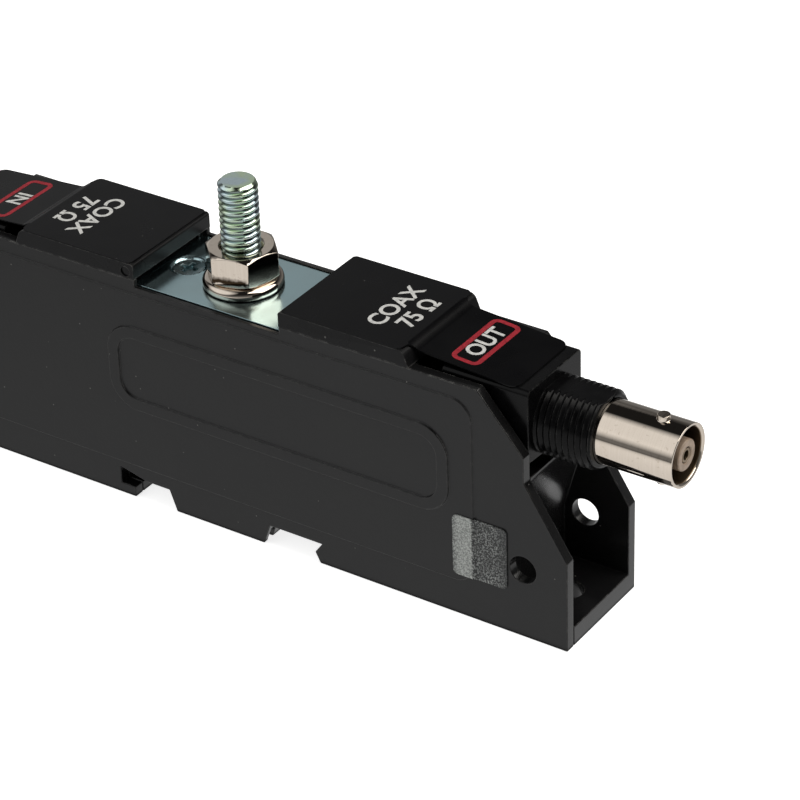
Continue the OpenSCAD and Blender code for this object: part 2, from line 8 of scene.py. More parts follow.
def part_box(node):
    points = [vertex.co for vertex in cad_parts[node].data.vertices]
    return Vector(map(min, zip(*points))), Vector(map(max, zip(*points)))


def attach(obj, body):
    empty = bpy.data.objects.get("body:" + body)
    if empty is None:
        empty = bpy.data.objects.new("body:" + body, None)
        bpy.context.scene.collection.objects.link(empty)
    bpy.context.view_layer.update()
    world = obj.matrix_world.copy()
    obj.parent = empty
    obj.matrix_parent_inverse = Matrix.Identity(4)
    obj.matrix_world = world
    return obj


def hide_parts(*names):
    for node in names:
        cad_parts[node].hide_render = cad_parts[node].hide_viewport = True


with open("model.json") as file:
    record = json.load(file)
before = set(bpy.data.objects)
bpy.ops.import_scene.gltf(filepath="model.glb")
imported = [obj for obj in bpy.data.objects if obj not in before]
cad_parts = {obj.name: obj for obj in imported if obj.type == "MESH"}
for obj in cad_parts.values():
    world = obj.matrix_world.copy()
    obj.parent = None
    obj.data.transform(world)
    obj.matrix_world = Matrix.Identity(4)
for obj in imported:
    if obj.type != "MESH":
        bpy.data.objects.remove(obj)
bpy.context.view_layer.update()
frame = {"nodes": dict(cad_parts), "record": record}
mm = 0.001
nodes = frame["nodes"]
record = frame["record"]
mounts = {m["name"]: m for m in record["mounts"]}
slotOf = {p["node"]: p["material_slot"] for p in record["subparts"]}
bodyOf = {name: body for body, names in record["behaviour"]["bodies"].items() for name in names}
sides = {"clean": 0, "line": 180}  # turn of each end about the stud, in degrees
print("frame loaded,", len(nodes), "nodes")


# shader helpers

def toLinear(hexCode):  # sRGB hex to the linear colour that a shader wants
    channels = [int(hexCode[i:i + 2], 16) / 255 for i in (1, 3, 5)]
    return [c / 12.92 if c <= 0.04045 else ((c + 0.055) / 1.055) ** 2.4 for c in channels] + [1.0]


def perSize(sizeMm):  # texture scale that puts one feature in every sizeMm
    return 1000 / sizeMm


def addNode(tree, kind, sockets=None, out=0, **settings):  # values and links in, one output back
    node = tree.nodes.new("ShaderNode" + kind)
    for name, value in settings.items():
        setattr(node, name, value)
    for key, value in (sockets or {}).items():
        if isinstance(value, bpy.types.NodeSocket):
            tree.links.new(value, node.inputs[key])
        else:
            node.inputs[key].default_value = toLinear(value) if isinstance(value, str) else value
    return node.outputs[out] if node.outputs else None


def startMaterial(name):  # empty node tree and the Object coordinates
    material = bpy.data.materials.new(name)
    material.use_nodes = True
    tree = material.node_tree
    tree.nodes.clear()
    return material, tree, addNode(tree, "TexCoord", out="Object")


# black plastics: sizes in mm, with grain, pale edges that are partly rubbed wear and partly painted
# highlight, and dust
# drawn coarser than the real ones so that they show

# the rubbed tone is a pale edge colour: partly wear, partly a painted highlight
plasticWay = {
    "texturedAbs": {"dark": "#131314", "light": "#191919", "cloud": 14, "gloss": 0.3,
                    "smooth": 0.17, "rough": 0.25, "frontRough": 0.12,
                    "grain": 0.5, "grainDeep": 0.02, "wearAndHighlightTone": "#8a8986", "wearAndHighlight": 0.4, "dust": 2.6,
                    "rimOf": "side_cover", "rimDepth": 1.2, "rimSoft": 0.4, "rimMore": 3},
    "polishedAbs": {"dark": "#141415", "light": "#1a1a1b", "cloud": 11, "gloss": 0.38,
                    "smooth": 0.17, "rough": 0.25,
                    "grain": 0.8, "grainDeep": 0.008, "wearAndHighlightTone": "#8a8986", "wearAndHighlight": 0.5, "dust": 3.4},
    "satinAbs": {"dark": "#121213", "light": "#19191a", "cloud": 6, "gloss": 0.14,
                 "smooth": 0.24, "rough": 0.34,
                 "grain": 0.5, "grainDeep": 0.008, "wearAndHighlightTone": "#7c7b79", "wearAndHighlight": 0.4, "dust": 3.8},
    "glossyNylon": {"dark": "#070708", "light": "#0d0d0e", "cloud": 3, "gloss": 0.12,
                    "smooth": 0.18, "rough": 0.3,
                    "grain": 1.5, "grainDeep": 0.012, "wearAndHighlightTone": "#5c5c5a", "wearAndHighlight": 0.5, "dust": 4.5},
}
edgeWay = {"reach": 0.32, "corner": 0.5, "patch": 1.1,
           "dustFrom": 0.05, "dustTo": 0.03, "dustMost": 0.55, "dustColour": "#8d8c88"}


def blackPlastic(name):  # moulded black: clouded sheen, fine grain, pale edges of rubbed wear and painted highlight, and stray dust
    way = plasticWay[name]
    material, tree, coords = startMaterial(name)
    cloud = addNode(tree, "TexNoise", {"Vector": coords, "Scale": perSize(way["cloud"]), "Detail": 4})
    grain = addNode(tree, "TexNoise", {"Vector": coords, "Scale": perSize(way["grain"]), "Detail": 3})
    patchy = addNode(tree, "TexNoise", {"Vector": coords, "Scale": perSize(edgeWay["patch"]), "Detail": 5})
    dust = addNode(tree, "TexVoronoi", {"Vector": coords, "Scale": perSize(way["dust"])})
    softNormal = addNode(tree, "Bevel", {"Radius": edgeWay["reach"] * mm}, samples=6)
    trueNormal = addNode(tree, "NewGeometry", out="Normal")
    facing = addNode(tree, "VectorMath", {0: softNormal, 1: trueNormal}, "Value", operation="DOT_PRODUCT")
    edge = addNode(tree, "MapRange", {0: facing, 1: 0.99, 2: 0.9})
    openness = addNode(tree, "AmbientOcclusion", {"Distance": edgeWay["corner"] * mm}, "AO",
                       samples=4, only_local=True)
    outward = addNode(tree, "MapRange", {0: openness, 1: 0.8, 2: 0.95})  # inner corners get no pale edge, neither wear nor painted highlight
    # pale edges along convex edges: partly rubbed wear, partly a painted highlight
    edgePatches = addNode(tree, "MapRange", {0: patchy, 1: 0.42, 2: 0.62, 3: 0.1 * way["wearAndHighlight"], 4: way["wearAndHighlight"]})
    wearAndHighlight = addNode(tree, "Math", {0: edge, 1: edgePatches}, operation="MULTIPLY")
    wearAndHighlight = addNode(tree, "Math", {0: wearAndHighlight, 1: outward}, operation="MULTIPLY")
    if "rimOf" in way:  # its upper rim gets more of the pale edge, wear and painted highlight, than the other edges
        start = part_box(way["rimOf"])[1].z - way["rimDepth"] * mm
        height = addNode(tree, "SeparateXYZ", {0: coords}, "Z")
        upper = addNode(tree, "MapRange", {0: height, 1: start, 2: start + way["rimSoft"] * mm,
                                           3: 1, 4: way["rimMore"]})
        wearAndHighlight = addNode(tree, "Math", {0: wearAndHighlight, 1: upper}, operation="MULTIPLY", use_clamp=True)
    speck = addNode(tree, "MapRange", {0: dust, 1: edgeWay["dustFrom"], 2: edgeWay["dustTo"],
                                       4: edgeWay["dustMost"]})
    shade = addNode(tree, "MapRange", {0: cloud, 1: 0.35, 2: 0.65})
    base = addNode(tree, "Mix", {0: shade, 6: way["dark"], 7: way["light"]}, 2, data_type="RGBA")
    wearAndHighlightTone = addNode(tree, "Mix", {0: wearAndHighlight, 6: base, 7: way["wearAndHighlightTone"]}, 2, data_type="RGBA")
    dusty = addNode(tree, "Mix", {0: speck, 6: wearAndHighlightTone, 7: edgeWay["dustColour"]}, 2, data_type="RGBA")
    rough = addNode(tree, "MapRange", {0: cloud, 1: 0.3, 2: 0.7, 3: way["smooth"], 4: way["rough"]})
    if "frontRough" in way:  # only the wide front is textured, its narrow edges are smooth
        across = addNode(tree, "SeparateXYZ", {0: addNode(tree, "TexCoord", out="Normal")}, "Y")
        front = addNode(tree, "MapRange", {0: across, 1: -0.6, 2: -0.95, 4: way["frontRough"]})
        rough = addNode(tree, "Math", {0: rough, 1: front}, operation="ADD")
    bump = addNode(tree, "Bump", {"Height": grain, "Distance": way["grainDeep"] * mm, "Strength": 0.5})
    shader = addNode(tree, "BsdfPrincipled", {"Base Color": dusty, "Roughness": rough, "Normal": bump,
                                              "Specular IOR Level": way["gloss"]})
    addNode(tree, "OutputMaterial", {"Surface": shader})
    return material


vinylWay = {"dark": "#08080a", "light": "#0e0e0f", "wave": 7, "waveDeep": 0.05,
            "dust": 3.1, "dustColour": "#4c4c4a", "smooth": 0.26, "rough": 0.34, "gloss": 0.1}


def printedVinyl():  # black vinyl label: satin, a little wavy, with stray dust
    material, tree, coords = startMaterial("printedVinyl")
    wave = addNode(tree, "TexNoise", {"Vector": coords, "Scale": perSize(vinylWay["wave"])})
    dust = addNode(tree, "TexVoronoi", {"Vector": coords, "Scale": perSize(vinylWay["dust"])})
    speck = addNode(tree, "MapRange", {0: dust, 1: 0.04, 2: 0.025})
    base = addNode(tree, "Mix", {0: wave, 6: vinylWay["dark"], 7: vinylWay["light"]}, 2, data_type="RGBA")
    dusty = addNode(tree, "Mix", {0: speck, 6: base, 7: vinylWay["dustColour"]}, 2, data_type="RGBA")
    rough = addNode(tree, "MapRange", {0: wave, 1: 0.3, 2: 0.7,
                                       3: vinylWay["smooth"], 4: vinylWay["rough"]})
    bump = addNode(tree, "Bump", {"Height": wave, "Distance": vinylWay["waveDeep"] * mm, "Strength": 0.3})
    shader = addNode(tree, "BsdfPrincipled", {"Base Color": dusty, "Roughness": rough, "Normal": bump,
                                              "Specular IOR Level": vinylWay["gloss"]})
    addNode(tree, "OutputMaterial", {"Surface": shader})
    return material


inkWay = {"whiteInk": ("#c3c4c2", "#dededb"), "redInk": ("#8f1f2b", "#a82834")}  # thin and thick ink


def screenInk(name):  # screen-printed ink: flat and matt, slightly uneven
    thin, thick = inkWay[name]
    material, tree, coords = startMaterial(name)
    patchy = addNode(tree, "TexNoise", {"Vector": coords, "Scale": perSize(0.6), "Detail": 4})
    even = addNode(tree, "MapRange", {0: patchy, 1: 0.35, 2: 0.6})
    base = addNode(tree, "Mix", {0: even, 6: thin, 7: thick}, 2, data_type="RGBA")
    shader = addNode(tree, "BsdfPrincipled", {"Base Color": base, "Roughness": 0.55,
                                              "Specular IOR Level": 0.3})
    addNode(tree, "OutputMaterial", {"Surface": shader})
    return material


# pale and palest are a painted sheen on the raised panel; past the panel the film is dark with sparkle
foilWay = {"pale": "#8d918f", "palest": "#d0d4d1", "offSheen": "#1f2121", "sparkle": "#d2d6d4",
           "speck": 0.25, "cloud": 2.6, "onPanel": 3.1, "step": 0.3, "fadeIn": 1.0, "fadeOut": 2.2}


def foilFilm():  # metallised sticker with a painted sheen: pale on the raised panel, dark with sparkle past it
    material, tree, coords = startMaterial("foilFilm")
    low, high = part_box("side_label")
    edge = low.x + foilWay["onPanel"] * mm
    along = addNode(tree, "SeparateXYZ", {0: coords}, "X")
    sparkle = addNode(tree, "TexNoise", {"Vector": coords, "Scale": perSize(foilWay["speck"]), "Detail": 3})
    cloud = addNode(tree, "TexNoise", {"Vector": coords, "Scale": perSize(foilWay["cloud"]), "Detail": 3})
    inner = low.x + foilWay["fadeIn"] * mm
    outer = high.x - foilWay["fadeOut"] * mm
    # painted sheen: pale over the raised panel, dimmer towards the film's left end
    panelSheen = addNode(tree, "MapRange", {0: along, 1: edge, 2: edge + foilWay["step"] * mm, 3: 1, 4: 0})
    fadeIn = addNode(tree, "MapRange", {0: along, 1: low.x, 2: inner, 3: 0.35, 4: 1})
    fadeOut = addNode(tree, "MapRange", {0: along, 1: outer, 2: high.x, 3: 1, 4: 0.25})
    some = addNode(tree, "MapRange", {0: sparkle, 1: 0.4, 2: 0.62})
    few = addNode(tree, "MapRange", {0: sparkle, 1: 0.46, 2: 0.66, 4: 0.8})
    dense = addNode(tree, "MapRange", {0: cloud, 1: 0.35, 2: 0.65, 3: 0.45, 4: 1})
    few = addNode(tree, "Math", {0: few, 1: dense}, operation="MULTIPLY")
    few = addNode(tree, "Math", {0: few, 1: fadeOut}, operation="MULTIPLY")
    sheenMask = addNode(tree, "Math", {0: panelSheen, 1: fadeIn}, operation="MULTIPLY")
    sheenTone = addNode(tree, "Mix", {0: some, 6: foilWay["pale"], 7: foilWay["palest"]}, 2,
                       data_type="RGBA")
    offSheenTone = addNode(tree, "Mix", {0: few, 6: foilWay["offSheen"], 7: foilWay["sparkle"]}, 2,
                        data_type="RGBA")
    base = addNode(tree, "Mix", {0: sheenMask, 6: offSheenTone, 7: sheenTone}, 2, data_type="RGBA")
    bump = addNode(tree, "Bump", {"Height": sparkle, "Distance": 0.02 * mm, "Strength": 0.4})
    shader = addNode(tree, "BsdfPrincipled", {"Base Color": base, "Roughness": 0.4, "Normal": bump,
                                              "Specular IOR Level": 0.4})
    addNode(tree, "OutputMaterial", {"Surface": shader})
    return material


sheetWay = {"dark": "#abc8ce", "light": "#bdd6da", "haze": 4, "pits": 3.4, "pitColour": "#4a4f50",
            "smooth": 0.17, "rough": 0.24}


def zincSheet():  # bright zinc plated sheet: blue-green mirror with a soft haze and a few pits
    material, tree, coords = startMaterial("zincSheet")
    haze = addNode(tree, "TexNoise", {"Vector": coords, "Scale": perSize(sheetWay["haze"]), "Detail": 5})
    pits = addNode(tree, "TexVoronoi", {"Vector": coords, "Scale": perSize(sheetWay["pits"])})
    pit = addNode(tree, "MapRange", {0: pits, 1: 0.06, 2: 0.04})
    base = addNode(tree, "Mix", {0: haze, 6: sheetWay["dark"], 7: sheetWay["light"]}, 2, data_type="RGBA")
    pitted = addNode(tree, "Mix", {0: pit, 6: base, 7: sheetWay["pitColour"]}, 2, data_type="RGBA")
    rough = addNode(tree, "MapRange", {0: haze, 1: 0.3, 2: 0.7,
                                       3: sheetWay["smooth"], 4: sheetWay["rough"]})
    bump = addNode(tree, "Bump", {"Height": haze, "Distance": 0.03 * mm, "Strength": 0.1})
    shader = addNode(tree, "BsdfPrincipled", {"Base Color": pitted, "Roughness": rough, "Normal": bump,
                                              "Metallic": 1})
    addNode(tree, "OutputMaterial", {"Surface": shader})
    return material


zincWay = {
    "passivatedZinc": {"dark": "#c2d4d8", "light": "#cfdbc9"},
    # the stud gets painted shade in its thread roots, its top end left bare
    "rootShadedZinc": {"dark": "#c6d8de", "light": "#cde0c2", "root": 2.5, "crest": 2.78,
                  "paintedShade": "#87928f"},
    "deepZinc": {"dark": "#8aa3a8", "light": "#c9d9da", "rough": (0.22, 0.38)},
}


def passivatedZinc(name):  # clear passivated zinc: bluish with pale green, with painted shade in a thread's roots
    way = zincWay[name]
    material, tree, coords = startMaterial(name)
    tint = addNode(tree, "TexNoise", {"Vector": coords, "Scale": perSize(3.2), "Detail": 2})
    fine = addNode(tree, "TexNoise", {"Vector": coords, "Scale": perSize(0.7), "Detail": 4})
    patch = addNode(tree, "MapRange", {0: tint, 1: 0.42, 2: 0.62})
    base = addNode(tree, "Mix", {0: patch, 6: way["dark"], 7: way["light"]}, 2, data_type="RGBA")
    if "paintedShade" in way:  # distance from the stud's axis tells root from crest, for the painted shade in the roots
        flat = addNode(tree, "VectorMath", {0: coords, 1: (1, 1, 0)}, operation="MULTIPLY")
        reach = addNode(tree, "VectorMath", {0: flat}, "Value", operation="LENGTH")
        clean = addNode(tree, "MapRange", {0: reach, 1: way["root"] * mm, 2: way["crest"] * mm})
        height = addNode(tree, "SeparateXYZ", {0: coords}, "Z")
        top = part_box("earth_stud")[1].z
        onEnd = addNode(tree, "MapRange", {0: height, 1: top - 0.4 * mm, 2: top - 0.1 * mm})
        clean = addNode(tree, "Math", {0: clean, 1: onEnd}, operation="MAXIMUM")
        base = addNode(tree, "Mix", {0: clean, 6: way["paintedShade"], 7: base}, 2, data_type="RGBA")
    smooth, coarse = way.get("rough", (0.1, 0.2))
    rough = addNode(tree, "MapRange", {0: fine, 1: 0.3, 2: 0.7, 3: smooth, 4: coarse})
    bump = addNode(tree, "Bump", {"Height": fine, "Distance": 0.02 * mm, "Strength": 0.3})
    shader = addNode(tree, "BsdfPrincipled", {"Base Color": base, "Roughness": rough, "Normal": bump,
                                              "Metallic": 1})
    addNode(tree, "OutputMaterial", {"Surface": shader})
    return material


nickelWay = {
    "brightNickel": {"bore": 4.15, "dull": "#6b5c4a"},
    # the nut gets a band of painted shade above its foot, left off the facets towards +X
    "oiledNickel": {"piece": "earth_nut", "foot": (0.5, 0.7, 1.2, 1.95), "wave": 0.5,
                    "paintedShade": "#33291d", "side": (3.5, 4.05)},
    # the washer gets a dark band of painted shade at its foot, where it meets the plate
    "contactShadedNickel": {"piece": "earth_washer", "foot": (-0.2, -0.1, 0.13, 0.4), "wave": 0.12,
                    "paintedShade": "#12100d"},
}


def nickelPlate(name):  # nickel plate on turned metal: warm mirror, fine rings, faint stains, painted shade at the foot
    way = nickelWay[name]
    material, tree, coords = startMaterial(name)
    squeezed = addNode(tree, "Mapping", {"Vector": coords, "Scale": (12, 1, 1)})
    rings = addNode(tree, "TexNoise", {"Vector": squeezed, "Scale": perSize(4), "Detail": 2})
    stain = addNode(tree, "TexNoise", {"Vector": coords, "Scale": perSize(0.7), "Detail": 4})
    spot = addNode(tree, "MapRange", {0: stain, 1: 0.62, 2: 0.78, 4: 0.5})
    base = addNode(tree, "Mix", {0: rings, 6: "#ccc0b2", 7: "#d8cdc0"}, 2, data_type="RGBA")
    stainsAndShade = addNode(tree, "Mix", {0: spot, 6: base, 7: "#9a8d7e"}, 2, data_type="RGBA")
    if "foot" in way:  # painted shade in a band above the foot of the piece
        height = addNode(tree, "SeparateXYZ", {0: coords}, "Z")
        wavy = addNode(tree, "MapRange", {0: stain, 3: -way["wave"] * mm, 4: way["wave"] * mm})
        height = addNode(tree, "Math", {0: height, 1: wavy}, operation="ADD")
        marks = [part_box(way["piece"])[0].z + rise * mm for rise in way["foot"]]
        above = addNode(tree, "MapRange", {0: height, 1: marks[0], 2: marks[1]})
        below = addNode(tree, "MapRange", {0: height, 1: marks[3], 2: marks[2]})
        shadeBand = addNode(tree, "Math", {0: above, 1: below}, operation="MULTIPLY")
        if "side" in way:  # the painted shade is left off the facets towards +X
            along = addNode(tree, "SeparateXYZ", {0: coords}, "X")
            clean = addNode(tree, "MapRange", {0: along, 1: way["side"][1] * mm, 2: way["side"][0] * mm})
            shadeBand = addNode(tree, "Math", {0: shadeBand, 1: clean}, operation="MULTIPLY")
        stainsAndShade = addNode(tree, "Mix", {0: shadeBand, 6: stainsAndShade, 7: way["paintedShade"]}, 2, data_type="RGBA")
    rough = addNode(tree, "MapRange", {0: stain, 1: 0.3, 2: 0.7, 3: 0.03, 4: 0.06})
    if "bore" in way:  # dull inside the sockets
        across = addNode(tree, "VectorMath", {0: coords, 1: (0, 1, 1)}, operation="MULTIPLY")
        axis = (0, 0, mounts["clean_coax"]["pos_m"][2])
        reach = addNode(tree, "VectorMath", {0: across, 1: axis}, "Value", operation="DISTANCE")
        inside = addNode(tree, "MapRange", {0: reach, 1: (way["bore"] + 0.1) * mm, 2: way["bore"] * mm})
        stainsAndShade = addNode(tree, "Mix", {0: inside, 6: stainsAndShade, 7: way["dull"]}, 2, data_type="RGBA")
        rough = addNode(tree, "MapRange", {0: inside, 3: rough, 4: 0.45})
    bump = addNode(tree, "Bump", {"Height": rings, "Distance": 0.01 * mm, "Strength": 0.2})
    shader = addNode(tree, "BsdfPrincipled", {"Base Color": stainsAndShade, "Roughness": rough, "Normal": bump,
                                              "Metallic": 1})
    addNode(tree, "OutputMaterial", {"Surface": shader})
    return material


coatWay = {  # one finish each in two close shades: sizes in mm
    "turnedBrass": {"dark": "#a98445", "light": "#c6a25c", "size": 0.5, "rough": 0.28, "metallic": 1},
    "dulledBrass": {"dark": "#7d6d5a", "light": "#97866f", "size": 0.4, "rough": 0.38, "metallic": 1},
    "naturalPolymer": {"dark": "#958270", "light": "#ab9784", "size": 1.2, "rough": 0.4, "metallic": 0},
    "solderMask": {"dark": "#17401f", "light": "#24552c", "size": 2.0, "rough": 0.35, "metallic": 0},
    "glazedCeramic": {"dark": "#c3bab0", "light": "#d6cec5", "size": 2.5, "rough": 0.2, "metallic": 0},
    "enamelledWire": {"dark": "#5b3218", "light": "#7c4a25", "size": 0.5, "rough": 0.3, "metallic": 0},
    "mouldedEpoxy": {"dark": "#151515", "light": "#222223", "size": 0.6, "rough": 0.5, "metallic": 0},
}


def plainCoat(name):  # small inner pieces: one colour with a slight cloud and grain
    way = coatWay[name]
    material, tree, coords = startMaterial(name)
    shade = addNode(tree, "TexNoise", {"Vector": coords, "Scale": perSize(way["size"]), "Detail": 4})
    even = addNode(tree, "MapRange", {0: shade, 1: 0.35, 2: 0.65})
    base = addNode(tree, "Mix", {0: even, 6: way["dark"], 7: way["light"]}, 2, data_type="RGBA")
    bump = addNode(tree, "Bump", {"Height": shade, "Distance": 0.02 * mm, "Strength": 0.3})
    shader = addNode(tree, "BsdfPrincipled", {"Base Color": base, "Normal": bump, "Roughness": way["rough"],
                                              "Metallic": way["metallic"]})
    addNode(tree, "OutputMaterial", {"Surface": shader})
    return material


slotFinish = {
    "housing_plastic": blackPlastic("polishedAbs"),
    "cap_plastic": blackPlastic("satinAbs"),
    "jack_plastic": blackPlastic("glossyNylon"),
    "label_film": printedVinyl(),
    "foil_label": foilFilm(),
    "zinc_plate": zincSheet(),
    "zinc_stud": passivatedZinc("passivatedZinc"),
    "nickel": nickelPlate("brightNickel"),
    "brass": plainCoat("turnedBrass"),
    "insulator": plainCoat("naturalPolymer"),
    "board": plainCoat("solderMask"),
    "tube_ceramic": plainCoat("glazedCeramic"),
    "coil": plainCoat("enamelledWire"),
    "diode": plainCoat("mouldedEpoxy"),
}
dulledBrass = plainCoat("dulledBrass")
ownFinish = {"side_cover": blackPlastic("texturedAbs"), "earth_stud": passivatedZinc("rootShadedZinc"),
             "plate_screw": passivatedZinc("deepZinc"), "earth_washer": nickelPlate("contactShadedNickel"),
             "earth_nut": nickelPlate("oiledNickel"),
             "clean_jack_contact": dulledBrass, "line_jack_contact": dulledBrass}
finish = {name: ownFinish.get(name, slotFinish[slotOf[name]]) for name in nodes}
whiteInk = screenInk("whiteInk")
redInk = screenInk("redInk")
for name, node in nodes.items():
    node.data.materials.clear()
    node.data.materials.append(finish[name])
print("materials made:", len(bpy.data.materials))


# mesh helpers

def finishPiece(bm, name, node, material=None, smoothTo=35):  # with its own material it replaces nothing
    bm.normal_update()
    mesh = bpy.data.meshes.new(name)
    bm.to_mesh(mesh)
    bm.free()
    mesh.materials.append(material or finish[node])
    mesh.shade_smooth()
    mesh.set_sharp_from_angle(angle=radians(smoothTo))
    piece = bpy.data.objects.new(name, mesh)
    bpy.context.scene.collection.objects.link(piece)
    weighted = piece.modifiers.new("weighted", "WEIGHTED_NORMAL")  # flat faces stay flat beside round edges
    weighted.keep_sharp = True
    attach(piece, bodyOf[node])
    if material is None:
        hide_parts(node)


def copyOf(node):  # merged copy of a CAD node, with its flat triangles joined
    bm = bmesh.new()
    bm.from_mesh(nodes[node].data)
    bmesh.ops.remove_doubles(bm, verts=bm.verts[:], dist=0.002 * mm)
    bmesh.ops.dissolve_limit(bm, angle_limit=radians(0.3), verts=bm.verts[:], edges=bm.edges[:])
    return bm


def isSharp(edge):
    return edge.calc_face_angle(0) > radians(25)


def roundEdges(bm, edges, radiusMm, steps=2, clamp=False):
    bmesh.ops.bevel(bm, geom=edges, offset=radiusMm * mm, offset_type="OFFSET", segments=steps,
                    profile=0.5, affect="EDGES", clamp_overlap=clamp, material=-1)


def newVerts(made):  # vertices among what an extrude has made
    return [g for g in made["geom"] if isinstance(g, bmesh.types.BMVert)]


def solidUp(bm, thickMm):  # sheet of faces made a closed film by drawing it upwards
    grown = bmesh.ops.extrude_face_region(bm, geom=bm.faces[:])
    bmesh.ops.translate(bm, vec=(0, 0, thickMm * mm), verts=newVerts(grown))
    bmesh.ops.recalc_face_normals(bm, faces=bm.faces[:])


def cutOff(bm, point, normal):  # drop what lies past a plane and give the new rim
    cut = bmesh.ops.bisect_plane(bm, geom=bm.verts[:] + bm.edges[:] + bm.faces[:], dist=0.0005 * mm,
                                 plane_co=point, plane_no=normal, clear_outer=True)
    return [g for g in cut["geom_cut"] if isinstance(g, bmesh.types.BMEdge)]


# pieces that keep the form of their solid and only get rounded edges, radii and lengths in mm

roundedPieces = {
    "housing": {"radius": 0.15, "seam": 0.14},
    "side_cover": {"radius": 0.15},
    "earth_plate": {"radius": 0.05, "shortest": 0.9},
    "clean_jack_barrel": {"radius": 0.1},
    "line_jack_barrel": {"radius": 0.1},
    "clean_jack_insulator": {"radius": 0.25, "steps": 3},
    "line_jack_insulator": {"radius": 0.25, "steps": 3},
    "clean_jack_contact": {"radius": 0.08},
    "line_jack_contact": {"radius": 0.08},
}
for name, way in roundedPieces.items():
    bm = copyOf(name)
    if "seam" in way:  # a fine gap to the cover, whose inner face meets this side of the housing
        meeting = [v for v in bm.verts if v.co.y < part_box(name)[0].y + 0.01 * mm]
        bmesh.ops.translate(bm, vec=(0, way["seam"] * mm, 0), verts=meeting)
    picked = [e for e in bm.edges if isSharp(e) and e.calc_length() > way.get("shortest", 0) * mm]
    roundEdges(bm, picked, way["radius"], way.get("steps", 2))
    finishPiece(bm, name + "_rounded", name)
print("rounded pieces:", len(roundedPieces))


capWay = {"outer": 0.8, "radius": 0.2, "shortest": 0.9, "lean": 1.0}


def makeCap(side):  # well rounded where its label bends down, softly elsewhere
    bm = copyOf(side + "_cap")
    low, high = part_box(side + "_cap")
    reach = max(abs(low.x), abs(high.x)) - (capWay["lean"] + 0.1) * mm
    bend = [e for e in bm.edges if all(v.co.z > high.z - 0.1 * mm and abs(v.co.x) > reach for v in e.verts)]
    roundEdges(bm, bend, capWay["outer"], 5)
    rest = [e for e in bm.edges if isSharp(e) and e.calc_length() > capWay["shortest"] * mm]
    roundEdges(bm, rest, capWay["radius"], 2, True)
    finishPiece(bm, side + "_cap_rounded", side + "_cap")


for side in sides:
    makeCap(side)


screwWay = {"sunk": 0.4, "rim": 0.28, "recess": 0.16, "recessWithin": 2.3, "near": 0.02}


def makeScrew():  # sits a little below the plate, so that a ring of its countersink shows
    bm = copyOf("plate_screw")
    low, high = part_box("plate_screw")
    top = high.z - screwWay["sunk"] * mm
    centre = (low + high) / 2
    bmesh.ops.triangle_fill(bm, edges=cutOff(bm, (0, 0, top), (0, 0, 1)), use_beauty=True)
    bmesh.ops.recalc_face_normals(bm, faces=bm.faces[:])
    bmesh.ops.dissolve_limit(bm, angle_limit=radians(0.3), verts=bm.verts[:], edges=bm.edges[:])

    def topEdges(ofRim):  # sharp edges of the top, of its rim or of its recess
        sharp = [e for e in bm.edges if isSharp(e) and all(
            v.co.z > top - screwWay["near"] * mm for v in e.verts)]
        return [e for e in sharp if ofRim == all(
            hypot(v.co.x - centre.x, v.co.y - centre.y) > screwWay["recessWithin"] * mm for v in e.verts)]

    roundEdges(bm, topEdges(False), screwWay["recess"], 2, True)
    roundEdges(bm, topEdges(True), screwWay["rim"], 4)
    finishPiece(bm, "plate_screw_rounded", "plate_screw")


makeScrew()


washerWay = {"top": 0.95, "foot": 0.3, "hole": 4.0}


def makeWasher():  # stamped: round shoulder on top, small one below
    bm = copyOf("earth_washer")
    low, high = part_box("earth_washer")
    outer = [e for e in bm.edges if isSharp(e) and all(
        hypot(v.co.x, v.co.y) > washerWay["hole"] * mm for v in e.verts)]
    upper = [e for e in outer if all(v.co.z > high.z - 0.05 * mm for v in e.verts)]
    lower = [e for e in outer if all(v.co.z < low.z + 0.05 * mm for v in e.verts)]
    roundEdges(bm, lower, washerWay["foot"], 3)
    upper = [e for e in upper if e.is_valid]
    roundEdges(bm, upper, washerWay["top"], 7)
    finishPiece(bm, "earth_washer_rounded", "earth_washer")


makeWasher()


nutWay = {"bore": 3.3, "countersink": 0.4, "radius": 0.12, "outer": 4.0}


def makeNut():  # chamfered alike on both faces, countersunk bore, soft corners
    bm = copyOf("earth_nut")
    low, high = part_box("earth_nut")
    middle = (low.z + high.z) / 2
    bmesh.ops.translate(bm, vec=(0, 0, -middle), verts=bm.verts[:])
    cutOff(bm, (0, 0, 0), (0, 0, -1))
    bmesh.ops.mirror(bm, geom=bm.verts[:] + bm.edges[:] + bm.faces[:], axis="Z", merge_dist=0.002 * mm)
    bmesh.ops.translate(bm, vec=(0, 0, middle), verts=bm.verts[:])
    bmesh.ops.recalc_face_normals(bm, faces=bm.faces[:])
    bmesh.ops.dissolve_limit(bm, angle_limit=radians(0.3), verts=bm.verts[:], edges=bm.edges[:])
    sharp = [e for e in bm.edges if isSharp(e)]
    rims = [e for e in sharp if all(hypot(v.co.x, v.co.y) < nutWay["bore"] * mm for v in e.verts)]
    roundEdges(bm, rims, nutWay["countersink"], 1)
    outer = [e for e in bm.edges if isSharp(e) and all(
        hypot(v.co.x, v.co.y) > nutWay["outer"] * mm for v in e.verts)]
    roundEdges(bm, outer, nutWay["radius"], 2, True)
    finishPiece(bm, "earth_nut_rounded", "earth_nut")


makeNut()


# screw threads

